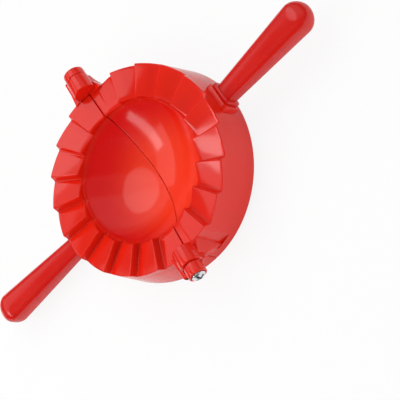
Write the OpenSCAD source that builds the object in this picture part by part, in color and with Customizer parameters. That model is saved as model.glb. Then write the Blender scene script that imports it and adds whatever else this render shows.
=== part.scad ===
// Hinged press for filled half-moon pastries, standing open.
// Two half bowls with a pleated sealing rim fold together about one hinge. The deep skirt under
// the rim is the round dough cutter. Each half has its own handle, plugged into the skirt.
// Origin: on the table, midway between the two ends of the hinge. +X to the right half, +Y to the
// closed knuckle, +Z up. The left half stands flat on its skirt. The right half is the same moulding
// turned round, and leans against the left one, raised by the angle of the opening stop.

/* [Rim] */
// Radius of the pleated rim's outer edge
rim_r = 52; // [46:0.5:60]
// Height of the rim's outer edge above the table, midway up its pleats
rim_z = 24; // [22:0.5:32]
// Number of equal pleats round one half
pleats = 10; // [6:1:14]
// Height of a pleat's step at the outer edge
step_outer = 3.5; // [1.5:0.1:4.2]
// Height of a pleat's step at the bowl
step_inner = 4.4; // [1.5:0.1:5]
// Length along the outer edge over which a step falls
step_run = 1.6; // [0.8:0.1:2.4]
// How far the rim falls from its outer edge to the bowl
rim_fall = 1.5; // [0:0.1:2]
// Height of the rim's solid edge below its outer edge
rim_depth = 5; // [4.2:0.1:6]

/* [Bowl] */
// Radius of the bowl at the rim
bowl_r = 35.7; // [32:0.1:38]
// Height of the lowest point inside the bowl
bowl_floor = 5.8; // [4:0.1:9]
// Drop from the rim's outer edge to the top of the bowl's curve
bowl_drop = 4.3; // [3.8:0.1:4.6]
// Thickness of the bowl
bowl_wall = 1.8; // [1.2:0.1:2.4]

/* [Cutter skirt] */
// How far the skirt spreads outwards from the rim to the table
skirt_flare = 0.8; // [0:0.1:2]
// Thickness of the skirt under the rim
skirt_wall = 1.8; // [1.4:0.1:2.4]
// Thickness of the skirt's cutting edge
edge_wall = 0.9; // [0.6:0.1:1.2]
// Height of the thin cutting edge
edge_h = 2.4; // [1:0.1:4]
// Thickness of the web along the straight side of a half
web_wall = 2; // [1.4:0.1:3]
// Height of the web's lower edge above the table
web_z = 6.5; // [5:0.1:10]

/* [Seam] */
// Angle that the right half stays raised by when fully open
open_angle = 5; // [0:0.5:6]
// Gap between the halves at the table
seam_gap_low = 0.2; // [0.1:0.05:0.4]
// Gap between the halves at the rim
seam_gap_high = 0.5; // [0.3:0.05:0.8]

/* [Hinge] */
// Height of the hinge axis above the rim's outer edge
hinge_rise = 3; // [2.5:0.1:4]
// Outer diameter of the knuckles beside the rim
knuckle_d = 11.6; // [10:0.1:12]
// How far the right half's knuckles reach in from the rim's outer edge
knuckle_bite = 1; // [0.5:0.1:2.5]
// Length of the right half's knuckles
knuckle_len = 9; // [8.5:0.1:11]
// Gap between neighbouring knuckles along the axis
knuckle_gap = 0.3; // [0.2:0.05:0.5]
// Length of the left half's closed end knuckle
cap_len = 4.4; // [3:0.1:7]
// Rounding of the closed end knuckle's outer edge
cap_round = 0.6; // [0.3:0.1:2]
// Outer diameter of the left half's knuckle round the screw
collar_d = 9.4; // [8.8:0.1:11]
// Length of the left half's knuckle round the screw
collar_len = 5.9; // [5:0.1:8]
// Diameter of the left half's closed end knuckle
cap_d = 11; // [10:0.1:11.6]
// Width of the arms that carry the left half's knuckles
arm_w = 2; // [1.5:0.1:3]
// Height of the arms' top below the hinge axis
arm_drop = 1.4; // [1.2:0.1:2]
// Height of the arms' and brackets' foot above the table, on the skirt
bracket_foot = 5; // [3:0.5:8]
// Height of the arms and brackets at their outer end
bracket_lip = 3; // [2:0.1:5]
// Extra width of an arm where it leaves the skirt
arm_root = 1; // [0.5:0.5:3]
// How far the arm at the screw reaches past the right half's knuckle
short_arm = 2; // [1.5:0.1:4]
// How far the right half's flat end walls lie in from the rim's outer edge
flat_bite = 1.8; // [1.2:0.1:2.4]
// Height of the skirt's full edge below the flat end walls
flat_foot = 5; // [4.5:0.5:8]
// How far a bracket's side lies in from the side of its knuckle
bracket_inset = 0.8; // [0.5:0.1:2]
// Spread of a bracket at the flat end wall
gusset_w = 3; // [1:0.5:6]
// Distance from the flat end wall over which a bracket narrows
gusset_len = 5.7; // [3:0.1:7]
// Diameter of the peg on the closed end knuckle
peg_d = 5; // [4:0.1:6]
// Length of the peg
peg_len = 7; // [4:0.1:7.5]
// Running clearance round the peg and the screw
pivot_clear = 0.06; // [0.03:0.01:0.1]
// Running clearance round a knuckle where it passes the other half
knuckle_clear = 0.35; // [0.3:0.05:0.5]

/* [Screw] */
// Diameter of the screw's shank
screw_d = 3.5; // [3:0.1:4]
// Length of the screw under its head
screw_len = 13; // [10:0.1:14]
// Diameter of the screw's head
head_d = 7; // [6:0.1:7.4]
// Height of the screw's head
head_h = 2.5; // [2:0.1:3]
// Depth of the recess that the head lies in
head_recess = 0.6; // [0.3:0.1:2]
// Clearance round the head in its recess
head_clear = 0.3; // [0.2:0.05:0.5]
// Width of the cross slot's arms
cross_w = 1; // [0.7:0.1:1.2]
// Length of the cross slot from tip to tip
cross_len = 4.2; // [3:0.1:4.6]
// Depth of the cross slot
cross_depth = 1.6; // [1:0.1:1.9]
// Radius of the head's domed face
dome_r = 6; // [5:0.5:12]
// Length of the screw's point
point_len = 2.5; // [1.5:0.1:4]
// Diameter at the tip of the point
tip_d = 1.2; // [0.8:0.1:2]
// Clearance round the thread in the right half's knuckle
thread_clear = 0.02; // [0.01:0.01:0.05]
// Depth of the screw's hole beyond the screw's tip
bore_spare = 0.3; // [0.2:0.1:1]

/* [Handles] */
// Length of a handle from its collar to its tip
handle_len = 57.5; // [40:0.1:85]
// Height of a handle's centre line above the table
handle_z = 10.5; // [8:0.1:12]
// Width of a handle at its widest, near the tip
handle_w = 16.1; // [12:0.1:18]
// Height of a handle at its widest, near the tip
handle_h = 13.4; // [10:0.1:15]
// Width of a handle at its root
root_w = 10.8; // [8:0.1:13]
// Height of a handle at its root
root_h = 9.4; // [7:0.1:11]
// How square a handle's section is, from 2 for an ellipse
handle_power = 2.5; // [2:0.1:4]
// Width of the pad on the skirt that a handle is plugged into
pad_w = 16; // [14:0.1:18]
// Height of the pad
pad_h = 12; // [11:0.1:13]
// Size of the pad's cut corners
pad_corner = 1.5; // [0.5:0.1:3]
// How far the pad stands out beyond the skirt
pad_out = 1.6; // [1:0.1:3]
// Thickness of the collar at a handle's root
flange_t = 2; // [1.2:0.1:3]
// Width of the collar at a handle's root
flange_w = 13.6; // [12:0.1:15]
// Height of the collar at a handle's root
flange_h = 10.6; // [9.6:0.1:12]
// How square the collar is, from 2 for an ellipse
flange_power = 6; // [2:0.5:10]
// Width of the tongue that plugs into the skirt
tongue_w = 6.6; // [5:0.1:8]
// Height of the tongue
tongue_h = 5; // [4:0.1:6]
// Length of the tongue inside the pad and sleeve
tongue_len = 9; // [6:0.1:11]
// Wall of the sleeve that holds the tongue
sleeve_wall = 1.6; // [1.2:0.1:2.4]
// Clearance round the tongue
tongue_clear = 0.05; // [0.02:0.01:0.1]

/* [Hidden] */
$fn = 96;
plastic = "crimson";
metal = "silver";
over = 1;
big = 200;
half_turn = 180;
pitch = 180 / pleats;
run_angle = step_run / rim_r * 180 / PI;
skirt_r = rim_r + skirt_flare;
rim_floor = rim_z - rim_depth;
rim_top = rim_z + step_inner;
web_lap = 0.5;
arm_straight = knuckle_len / 4;
hinge_z = rim_z + hinge_rise;
bowl_top = rim_z - bowl_drop;
bowl_depth = bowl_top - bowl_floor;
bowl_ball_r = (bowl_r * bowl_r + bowl_depth * bowl_depth) / (2 * bowl_depth);
bowl_ball_z = bowl_floor + bowl_ball_r;
knuckle_r = knuckle_d / 2;
knuckle_in = rim_r - knuckle_bite;
knuckle_out = knuckle_in + knuckle_len;
outer_in = knuckle_out + knuckle_gap;
cap_end = outer_in + cap_len;
collar_end = outer_in + collar_len;
screw_seat = collar_end - head_recess;
arm_x = knuckle_r + knuckle_clear;
arm_top = hinge_z - arm_drop;
bracket_steps = 8;
screw_arm_end = outer_in + short_arm;
web_x = knuckle_r - bracket_inset;
flat_y = rim_r - flat_bite;
root_y = flat_y - skirt_wall / 2;
flat_lean = atan(skirt_flare / rim_floor);
flat_run = rim_r / 2;
pad_x = skirt_r + pad_out;
handle_root = pad_x + flange_t;
handle_reach = handle_root + handle_len;
pleat_steps = 4;
seam_low = hinge_z * tan(open_angle / 2) - seam_gap_low / 2;
seam_high = hinge_rise * tan(open_angle / 2) - seam_gap_high / 2;
seam_lean = atan((seam_low - seam_high) / rim_z);
seam_run = seam_low + over;
seam_extra = asin(seam_run / (bowl_r - 2 * over));
oval_sides = 40;
bore_end = screw_seat - screw_len - bore_spare;
middle_y = (cap_end - screw_seat - head_h) / 2;

// Knots of the saw-tooth round one half, each an angle from the seam and a height from -0.5 to
// 0.5. The surface climbs along a pleat and falls at the step to the next. The pleats beside the
// seam are halves of a longer one, so the rim is at mid height where the two halves meet.
half_pleat = pitch - run_angle / 2;
seam_climb = 0.5 * seam_extra / half_pleat;
knots = concat(
    [[-seam_extra, -seam_climb]],
    [for (i = [0 : pleat_steps]) first_pleat(i / pleat_steps)],
    [for (k = [1 : pleats - 2]) for (i = [0 : pleat_steps]) inner_pleat(k, i / pleat_steps)],
    [for (i = [0 : pleat_steps]) last_pleat(i / pleat_steps)],
    [[180 + seam_extra, seam_climb]]);
function first_pleat(f) = [f * half_pleat, 0.5 * f];
function inner_pleat(k, f) = [k * pitch + run_angle / 2 + f * (pitch - run_angle), f - 0.5];
function last_pleat(f) = [180 - (1 - f) * half_pleat, 0.5 * (f - 1)];

// Height of the rim's surface at radius r, where the saw-tooth stands at s
function rim_share(r) = (r - bowl_r) / (rim_r - bowl_r);
function step_at(r) = step_inner + (step_outer - step_inner) * rim_share(r);
function rim_height(r, s) = rim_z - rim_fall * (1 - rim_share(r)) + step_at(r) * s;
function ring_point(r, angle, z) = [r * cos(angle), r * sin(angle), z];

// Space above the saw-tooth, from radius r0 to r1 and up to height z1
module pleat_space(r0, r1, z1) {
    n = len(knots);
    points = [for (k = knots) each [
        ring_point(r0, k[0], z1),
        ring_point(r0, k[0], rim_height(r0, k[1])),
        ring_point(r1, k[0], rim_height(r1, k[1])),
        ring_point(r1, k[0], z1)]];
    walls = [for (i = [0 : n - 2]) each [
        [4 * i, 4 * i + 1, 4 * i + 5, 4 * i + 4],
        [4 * i + 1, 4 * i + 2, 4 * i + 5],
        [4 * i + 2, 4 * i + 6, 4 * i + 5],
        [4 * i + 2, 4 * i + 3, 4 * i + 7, 4 * i + 6],
        [4 * i + 3, 4 * i, 4 * i + 4, 4 * i + 7]]];
    ends = [[3, 2, 1, 0], [4 * n - 4, 4 * n - 3, 4 * n - 2, 4 * n - 1]];
    polyhedron(points, concat(ends, walls), convexity = 10);
}

// Cylinder along Y from y0 to y1 on the hinge axis
module on_axis(r, y0, y1) {
    translate([0, y0, hinge_z]) rotate([-90, 0, 0]) cylinder(r = r, h = y1 - y0);
}

// Section of the bowl, the rim and the skirt, turned round the middle of the bowl
module shell_section() {
    polygon([
        [bowl_r, bowl_top],
        [bowl_r, rim_top],
        [rim_r, rim_top],
        [rim_r, rim_floor],
        [skirt_r, 0],
        [skirt_r - edge_wall, 0],
        [skirt_r - edge_wall, edge_h],
        [skirt_r - skirt_wall, edge_h + skirt_wall],
        [rim_r - skirt_wall, rim_floor],
        [bowl_r + bowl_wall / 2, rim_floor]]);
    intersection() {
        translate([0, bowl_ball_z]) difference() {
            circle(r = bowl_ball_r + bowl_wall);
            circle(r = bowl_ball_r);
        }
        square([bowl_r + bowl_wall, bowl_top]);
    }
}

// Bowl, pleated rim and skirt of the half on the -X side, running past its straight face
module pleated_shell() {
    difference() {
        rotate_extrude() shell_section();
        translate([seam_run, -big / 2, -over]) cube(big);
        rotate(90) pleat_space(bowl_r - over, rim_r + over, rim_top + over);
    }
}

// Web along the straight side, from the bowl to the skirt
module seam_web() {
    difference() {
        intersection() {
            translate([-web_wall, -big / 2, web_z]) cube([2 * web_wall, big, rim_floor + web_lap - web_z]);
            cylinder(r = rim_r - skirt_wall / 2, h = big);
        }
        translate([0, 0, bowl_ball_z]) sphere(r = bowl_ball_r + bowl_wall / 2);
    }
}

// Flat plate with rounded corners, square to X, from x0 to x1 at the handle's height
module plate(x0, x1, w, h, power) {
    translate([x0, 0, handle_z]) rotate([90, 0, 90])
        linear_extrude(x1 - x0) polygon(oval(w / 2, h / 2, power));
}
function oval(a, b, power) = [for (i = [0 : oval_sides - 1]) oval_point(a, b, power, i)];
function oval_point(a, b, power, i) = [
    a * soft(cos(360 * (i + 0.5) / oval_sides), power),
    b * soft(sin(360 * (i + 0.5) / oval_sides), power)];
function soft(c, power) = sign(c) * pow(abs(c), 2 / power);

// Flat plate with cut corners, square to X, from x0 to x1 at the handle's height
module chamfered_plate(x0, x1, w, h, corner) {
    translate([x0, 0, handle_z]) rotate([90, 0, 90]) linear_extrude(x1 - x0) polygon([
        for (side = [[1, 1], [-1, 1], [-1, -1], [1, -1]]) each corner_points(side, w / 2, h / 2, corner)]);
}
function corner_points(side, a, b, c) = side[0] == side[1]
    ? [[side[0] * a, side[1] * (b - c)], [side[0] * (a - c), side[1] * b]]
    : [[side[0] * (a - c), side[1] * b], [side[0] * a, side[1] * (b - c)]];

module box(x0, x1, w, h) {
    translate([x0, -w / 2, handle_z - h / 2]) cube([x1 - x0, w, h]);
}

// Pad outside the skirt and sleeve inside it, on the +X side, for a handle's tongue
module socket() {
    hollow_w = tongue_w + 2 * tongue_clear;
    hollow_h = tongue_h + 2 * tongue_clear;
    difference() {
        chamfered_plate(rim_r - skirt_wall, pad_x, pad_w, pad_h, pad_corner);
        cylinder(r = rim_r, h = big);
    }
    box(pad_x - tongue_len - over, rim_r, hollow_w + 2 * sleeve_wall, hollow_h + 2 * sleeve_wall);
}
module socket_hole() {
    box(pad_x - tongue_len, pad_x + over, tongue_w + 2 * tongue_clear, tongue_h + 2 * tongue_clear);
}

// Wall that closes the skirt behind a flat end, and the space that leaves the flat
module flat_wall() {
    intersection() {
        translate([-flat_run, root_y - skirt_wall / 2, edge_h])
            cube([flat_run + seam_low, big, rim_floor + web_lap - edge_h]);
        cylinder(r = rim_r, h = big);
    }
}
module flat_space() {
    translate([-big - web_x, flat_y, rim_z]) rotate([flat_lean, 0, 0])
        translate([0, 0, flat_foot - rim_z]) cube([big, big, big]);
}

// One half without its knuckles, on the -X side, with or without flat ends. Its straight face
// leans by half the opening angle, so that it lies along the other half's face at full opening.
module half_shell(flats) {
    difference() {
        union() {
            pleated_shell();
            seam_web();
            rotate(half_turn) socket();
            if (flats) for (side = [0, 1]) mirror([0, side, 0]) flat_wall();
        }
        if (flats) for (side = [0, 1]) mirror([0, side, 0]) flat_space();
        rotate(half_turn) socket_hole();
        translate([seam_low, 0, 0]) rotate([0, -seam_lean, 0])
            translate([0, -big / 2, -big / 2]) cube(big);
    }
}

// Plan outline outside the radius r_in, raised to z_top. Underneath, it curves up from its foot on
// the skirt to a lip at y_out.
module bracket(plan, z_top, y_out, r_in) {
    rise = z_top - bracket_lip - bracket_foot;
    under = [for (i = [0 : bracket_steps]) [
        rim_r + (y_out - rim_r) * i / bracket_steps,
        bracket_foot + rise * sin(90 * i / bracket_steps)]];
    difference() {
        intersection() {
            linear_extrude(z_top) polygon(plan);
            translate([-big / 2, 0, 0]) rotate([90, 0, 90]) linear_extrude(big)
                polygon(concat([[root_y, z_top], [root_y, bracket_foot]], under, [[y_out, z_top]]));
        }
        cylinder(r = r_in, h = big);
    }
}
module left_arm(y_out) {
    far = arm_x + arm_w;
    plan = [
        [-far - arm_root, root_y],
        [-far, knuckle_out - arm_straight],
        [-far, y_out],
        [0, y_out],
        [0, outer_in],
        [-arm_x, outer_in],
        [-arm_x, root_y]];
    bracket(plan, arm_top, y_out, rim_r - skirt_wall / 2);
}
module right_arm() {
    plan = [
        [seam_gap_high, root_y],
        [web_x + gusset_w, root_y],
        [web_x + gusset_w, flat_y],
        [web_x, flat_y + gusset_len],
        [web_x, knuckle_out],
        [seam_gap_high, knuckle_out]];
    bracket(plan, arm_top - over, knuckle_out, root_y);
}

module raised() {
    translate([0, 0, hinge_z]) rotate([0, -open_angle, 0]) translate([0, 0, -hinge_z]) children();
}

module left_half() {
    color(plastic) difference() {
        union() {
            difference() {
                half_shell(false);
                for (side = [0, 1]) mirror([0, side, 0])
                    on_axis(knuckle_r + knuckle_clear, knuckle_in - knuckle_clear, big);
            }
            left_arm(cap_end);
            mirror([0, 1, 0]) left_arm(screw_arm_end);
            translate([0, outer_in, hinge_z]) rotate([-90, 0, 0]) rounded_end();
            on_axis(peg_d / 2, outer_in - peg_len, outer_in + over);
            on_axis(collar_d / 2, -collar_end, -outer_in);
        }
        on_axis(screw_d / 2 + pivot_clear, -big, -outer_in + over);
        on_axis(head_d / 2 + head_clear, -big, -screw_seat);
    }
}
// Knuckle with a rounded outer edge, standing on its inner face
module rounded_end() {
    rotate_extrude() intersection() {
        union() {
            square([cap_d / 2 - cap_round, cap_len]);
            square([cap_d / 2, cap_len - cap_round]);
            translate([cap_d / 2 - cap_round, cap_len - cap_round]) circle(r = cap_round);
        }
        square([cap_d / 2, cap_len]);
    }
}

module right_half() {
    color(plastic) difference() {
        union() {
            raised() {
                rotate(half_turn) half_shell(true);
                right_arm();
                mirror([0, 1, 0]) right_arm();
            }
            on_axis(knuckle_r, knuckle_in, knuckle_out);
            on_axis(knuckle_r, -knuckle_out, -knuckle_in);
        }
        on_axis(peg_d / 2 + pivot_clear, outer_in - peg_len - over, big);
        on_axis(screw_d / 2 + thread_clear, -big, -bore_end);
    }
}

// Handle on the +X side: collar, tongue and a grip that widens to a round end
module handle() {
    grip_rings = 8;
    end_rings = 10;
    centre = handle_reach - handle_w / 2;
    stations = concat(
        [for (i = [0 : grip_rings]) [handle_root + (centre - handle_root) * i / grip_rings,
            i / grip_rings, 1]],
        [for (i = [1 : end_rings - 1]) [centre + handle_w / 2 * sin(90 * i / end_rings),
            1, cos(90 * i / end_rings)]]);
    n = len(stations);
    points = concat(
        [for (s = stations) each section(s)],
        [[handle_reach, 0, handle_z]]);
    walls = [for (j = [0 : n - 2]) for (i = [0 : oval_sides - 1]) each [
        [j * oval_sides + i, (j + 1) * oval_sides + i, j * oval_sides + after(i)],
        [j * oval_sides + after(i), (j + 1) * oval_sides + i, (j + 1) * oval_sides + after(i)]]];
    tip = [for (i = [0 : oval_sides - 1])
        [(n - 1) * oval_sides + i, n * oval_sides, (n - 1) * oval_sides + after(i)]];
    polyhedron(points, concat([[for (i = [0 : oval_sides - 1]) i]], walls, tip), convexity = 4);
    plate(pad_x, handle_root + over, flange_w, flange_h, flange_power);
    box(pad_x - tongue_len + over, pad_x + over, tongue_w, tongue_h);
}
function after(i) = (i + 1) % oval_sides;
function section(s) = [for (p = oval(
    s[2] * (root_w + (handle_w - root_w) * s[1]) / 2,
    s[2] * (root_h + (handle_h - root_h) * s[1]) / 2,
    handle_power)) [s[0], p[0], handle_z + p[1]]];

module left_handle() {
    color(plastic) rotate(half_turn) handle();
}
module right_handle() {
    color(plastic) raised() handle();
}

// Cross-slotted screw, the hinge's pivot at the open knuckle
module hinge_screw() {
    color(metal) difference() {
        translate([0, -screw_seat, hinge_z]) rotate([90, 0, 0]) union() {
            rotate_extrude() intersection() {
                translate([0, head_h - dome_r]) circle(r = dome_r);
                square([head_d / 2, head_h]);
            }
            translate([0, 0, point_len - screw_len])
                cylinder(d = screw_d, h = screw_len - point_len + over);
            translate([0, 0, -screw_len]) cylinder(d1 = tip_d, d2 = screw_d, h = point_len);
        }
        for (turn = [0, 90]) translate([0, -screw_seat - head_h, hinge_z]) rotate([90, turn, 0])
            translate([-cross_len / 2, -cross_w / 2, -cross_depth])
                cube([cross_len, cross_w, 2 * cross_depth]);
    }
}

module centred() {
    translate([0, -middle_y, 0]) children();
}

centred() left_half();
centred() right_half();
centred() left_handle();
centred() right_handle();
centred() hinge_screw();
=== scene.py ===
"""Looks of the hinged pastry press: two pleated half bowls, their plugged-in handles and the hinge screw.

Sizes are in millimetres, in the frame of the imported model, and become metres when a mesh is made.
A half is modelled once, on the -X side, and turned round for the right half.
"""
import math

import bmesh
import bpy
import numpy as np
from mathutils import Matrix, Quaternion, Vector


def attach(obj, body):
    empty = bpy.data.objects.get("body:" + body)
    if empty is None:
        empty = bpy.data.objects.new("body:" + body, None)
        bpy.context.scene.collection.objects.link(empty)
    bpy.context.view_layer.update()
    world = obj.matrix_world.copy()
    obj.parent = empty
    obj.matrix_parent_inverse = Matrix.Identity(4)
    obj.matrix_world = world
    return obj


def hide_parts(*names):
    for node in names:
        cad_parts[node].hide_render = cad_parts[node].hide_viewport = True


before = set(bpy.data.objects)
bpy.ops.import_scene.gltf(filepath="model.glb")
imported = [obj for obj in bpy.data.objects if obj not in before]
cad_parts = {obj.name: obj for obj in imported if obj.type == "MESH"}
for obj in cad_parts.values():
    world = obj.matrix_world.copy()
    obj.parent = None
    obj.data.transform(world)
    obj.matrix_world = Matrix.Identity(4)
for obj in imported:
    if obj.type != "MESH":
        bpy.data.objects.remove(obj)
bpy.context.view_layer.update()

MM = 0.001

# Rim: radius, height at its edge, pleats, their steps at the edge and by the bowl, and what is rounded
RIM_R = 52.0
RIM_Z = 24.0
PLEATS = 10
STEP_OUTER = 3.5
STEP_INNER = 4.4
STEP_RUN = 1.6
RIM_FALL = 1.5
SHEET = 1.7
EDGE_ROUND = 0.45
INNER_ROUND = 1.0
PLEAT_ROUND = 0.42
RIM_START = 2.5
NOTCH_MARGIN = 0.4
NOTCH_STEP = 0.01
RIM_UNDER_START = 0.3
RIM_UNDER_END = 0.4

# Bowl, skirt with its cutting edge, and web
BOWL_R = 35.7
BOWL_FLOOR = 5.8
BOWL_TOP = 19.7
BOWL_WALL = 1.8
BOWL_BEND = 1.2
BEND_RISE = 0.6
BEND_PULL = 0.985
BOWL_LAP = 0.1
SKIRT_FLARE = 0.8
SKIRT_WALL = 1.8
CUT_WALL = 0.9
CUT_H = 2.4
CUT_ROUND = 0.25
CUT_LEDGE = 0.9
CUT_STEP = 0.05
CUT_BEND = 0.3
SKIRT_STEP = 1.5
WEB_WALL = 2.0
WEB_Z = 6.5
WEB_ROUND = 0.4
WEB_LEAST = 0.02
WEB_SHARE = 0.9

# Seam, hinge with its knuckles, arms, brackets and peg
RIM_Y = 1.7
OPEN_ANGLE = 5.0
SEAM_GAP_LOW = 0.2
SEAM_GAP_HIGH = 0.5
SEAM_ROUND = 0.45
SEAM_REACH = 7.0
HINGE_Z = 27.0
KNUCKLE_R = 5.8
KNUCKLE_IN = 51.0
KNUCKLE_OUT = 60.0
KNUCKLE_EDGE = 0.35
BORE_EDGE = 0.25
OUTER_IN = 60.3
CAP_END = 64.7
CAP_R = 5.5
CAP_ROUND = 0.6
COLLAR_R = 4.7
COLLAR_END = 66.2
COLLAR_EDGE = 0.3
RECESS_EDGE = 0.2
SCREW_SEAT = 65.6
ARM_X = 6.15
ARM_W = 2.0
ARM_TOP = 25.6
ARM_ROOT = 1.0
ARM_STRAIGHT = 2.25
ARM_SINK = 2.0
ARM_ROUND = 0.45
BLOCK_ROUND = 0.4
BLOCK_INSET = 0.05
BAR_STEP = 0.3
SCREW_ARM_END = 62.3
BRACKET_LIP = 3.0
BRACKET_FOOT = 5.0
WEB_X = 5.0
GUSSET_W = 3.0
GUSSET_LEN = 5.7
FLAT_Y = 50.2
FLAT_FOOT = 5.0
FLAT_FADE = 0.1
FLAT_FOOT_STEP = 0.05
FLAT_RIM_START = 1.0
BRACKET_DROP = 1.0
KNUCKLE_CLEAR = 0.35
PEG_R = 2.5
PEG_LEN = 7.0
PEG_ROUND = 0.4
PEG_SINK = 0.5
PEG_ROOM = 1.0
BORE_R = 2.56
NOTCH_R = 6.15

# Screw: shank, thread, head, cross slot and its recess
SCREW_R = 1.75
SCREW_LEN = 13.0
SCREW_POINT = 2.5
POINT_ROW = 1.2
SCREW_POINT_R = 0.3
SCREW_NECK = 0.2
SCREW_HOLD = 0.02
SCREW_CLEAR = 0.06
SCREW_ROOM = 0.3
THREAD_PITCH = 1.3
THREAD_DEPTH = 0.35
THREAD_RUN_IN = 1.5
HEAD_R = 3.5
HEAD_H = 2.5
HEAD_EDGE = 0.35
HEAD_FOOT = 0.1
DOME_R = 4.6
CROSS_W = 1.15
CROSS_LEN = 4.6
CROSS_DEPTH = 1.9
CROSS_SOFT = 0.16
SLOT_END = 0.3
HEAD_START = 0.45
RECESS_R = 3.8

# Handles: grip, pad, collar, tongue and sleeve
HANDLE_REACH = 113.9
HANDLE_Z = 10.5
HANDLE_W = 16.1
HANDLE_H = 13.4
ROOT_W = 10.8
ROOT_H = 9.4
GRIP_POWER = 3.0
BALL_POWER = 2.1
BALL_CLOSE = 1e-3
GRIP_SINK = 0.4
GRIP_START = 0.02
PAD_W = 16.0
PAD_H = 12.0
PAD_X = 54.4
PAD_SINK = 0.6
PAD_CORNER = 2.0
PLATE_ROUND = 0.4
COLLAR_T = 2.0
COLLAR_ROUND = 0.5
COLLAR_GAP = 0.02
COLLAR_W = 13.6
COLLAR_H = 10.6
COLLAR_POWER = 6.0
TONGUE_W = 6.6
TONGUE_H = 5.0
TONGUE_LEN = 8.0
TONGUE_SINK = 0.5
TONGUE_CORNER = 0.5
SLEEVE_WALL = 1.6
SLEEVE_LEN = 10.0
SLEEVE_SINK = 0.5
SLEEVE_CORNER = 0.8

# Rows and columns of the surfaces, the shares and heights where they lie, and what a mesh merges or keeps sharp
STEP_COLS = 19
PLEAT_COLS = 9
END_COLS = 28
STEP_CLEAR = 1.5
PLEAT_CLEAR = 1.9
SPARE_ANGLE = 10.0
BOWL_ROWS = 26
BOWL_UNDER_ROWS = 35
BEND_ROWS = 6
ROUND_ROWS = 6
CORNER_ROWS = 5
EDGE_ROWS = 4
WALL_SHARES = (0.3, 0.65, 0.9)
UNDER_WALL_SHARES = (0.5, 0.9)
RIM_ROWS = 9
RIM_UNDER_ROWS = 16
SKIRT_SHARES = (0.15, 0.5, 1.0)
SKIRT_HEIGHTS = (15.0, 10.0)
FLAT_FOOT_ROWS = (0.6, 0.1, 0.05, -0.05, -0.1, -0.5)
SKIRT_UNDER_START = 0.02
RIM_CLEAR = 1.5
LATHE_COLS = 64
PEG_COLS = 40
CAP_ROUND_ROWS = 7
ARM_ROWS = 12
BLOCK_ROWS = 6
BRACKET_ROWS = 8
WEB_ROWS = 40
GRIP_ROWS = 28
BALL_ROWS = 22
GRIP_COLS = 72
SCREW_COLS = 144
SLOT_ROWS = 34
HEAD_ROWS = 8
THREAD_TURNS = 12
THREAD_ROWS = 8
SMALLEST_CORNER = 0.02
TINY = 1e-6
MERGE = 2e-7
DEGENERATE = 1e-8
SHARP_ANGLE = 40
SCREW_SHARP_ANGLE = 35

# Colours, linear, with their deeper shades
HALF_RED = (0.80, 0.019, 0.006, 1)
HALF_RED_DEEP = (0.72, 0.006, 0.003, 1)
# The bowl's pair is painted shade, a deep red by its wall, and painted light, a lighter and more orange red low down
BOWL_PAINTED_SHADE = (0.74, 0.003, 0.003, 1)
BOWL_PAINTED_LIGHT = (0.88, 0.040, 0.012, 1)
HANDLE_RED = (0.68, 0.012, 0.006, 1)
HANDLE_RED_DEEP = (0.60, 0.004, 0.004, 1)
STEEL = (0.82, 0.83, 0.84, 1)
STEEL_DEEP = (0.62, 0.63, 0.66, 1)
FLOOR_WHITE = (0.90, 0.90, 0.90, 1)
FLOOR_WHITE_DEEP = (0.84, 0.84, 0.84, 1)

# Painted light and shade in the bowl: middle, reach and soft edge of the painted pool of light, and the soft edge by
# the wall where the painted part ends
PAINTED_LIGHT_X = 6.0
PAINTED_LIGHT_Y = -5.0
PAINTED_LIGHT_R = 38.0
PAINTED_LIGHT_EDGE = 22.0
PAINTED_BOWL_EDGE = 2.5

# Moulded skin: scales of the noises per metre, and the scratches' turn and stretch
WAVE_SCALE = 95.0
GRAIN_SCALE = 1400.0
PATCH_SCALE = 60.0
PATCH_FROM = 0.5
PATCH_TO = 0.7
SCRATCH_WAYS = (((0.2, 0.1, 0.5), (900.0, 30.0, 500.0)), ((0.1, 0.3, 2.3), (1100.0, 40.0, 600.0)))
SCRATCH_WIDTH = 0.012
SCRATCH_ROUGHNESS = 0.2

# Studio: sizes in metres, shares of white that the camera and mirrored rays see
FLOOR_HALF = 3.0
FLOOR_DROP = 0.02
FLOOR_ROUGHNESS = 0.9
FLOOR_SEEN = 0.88
FLOOR_MIRRORED = 0.35
WORLD_GREY = 0.08
WORLD_SEEN = 1.0
WORLD_MIRRORED = 0.05
LAMP_AIM = 0.02
LAMPS = {
    "side_softbox": dict(turn=-173, rise=40, distance=0.8, size=(0.58, 0.15), radiance=3.0, roll=-11),
    "side_glow": dict(turn=150, rise=38, distance=1.1, size=(0.90, 0.50), radiance=0.8),
    "back_softbox": dict(turn=92, rise=60, distance=1.8, size=(1.2, 1.6), radiance=1.15, shape="ELLIPSE"),
    "back_glow": dict(turn=62, rise=44, distance=2.2, size=(4.4, 1.5), radiance=0.27, shape="ELLIPSE"),
    "back_glow_edge": dict(turn=52, rise=50, distance=2.3, size=(6.2, 3.0), radiance=0.2, shape="ELLIPSE"),
    "back_fill": dict(turn=65, rise=40, distance=1.2, size=(1.0, 1.0), radiance=0.9, glossy=False),
    "top_fill": dict(turn=0, rise=90, distance=1.3, size=(1.6, 1.6), radiance=0.6, glossy=False),
    "side_fill": dict(turn=-170, rise=45, distance=1.2, size=(1.0, 1.0), radiance=1.8, glossy=False),
    "front_fill": dict(turn=-58, rise=9, distance=1.2, size=(1.6, 0.34), radiance=4.2, glossy=False),
}

# Camera: its axes and place in the model's frame, the place in millimetres
CAMERA_RIGHT = (0.684168, -0.482604, -0.546816)
CAMERA_UP = (0.645308, 0.749932, 0.145533)
CAMERA_BACK = (0.33984, -0.452433, 0.824508)
CAMERA_PLACE = (224.972, -308.095, 522.161)
CAMERA_LENS = 116.711
CAMERA_SENSOR = 36
CAMERA_NEAR = 0.05
CAMERA_FAR = 20

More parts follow.
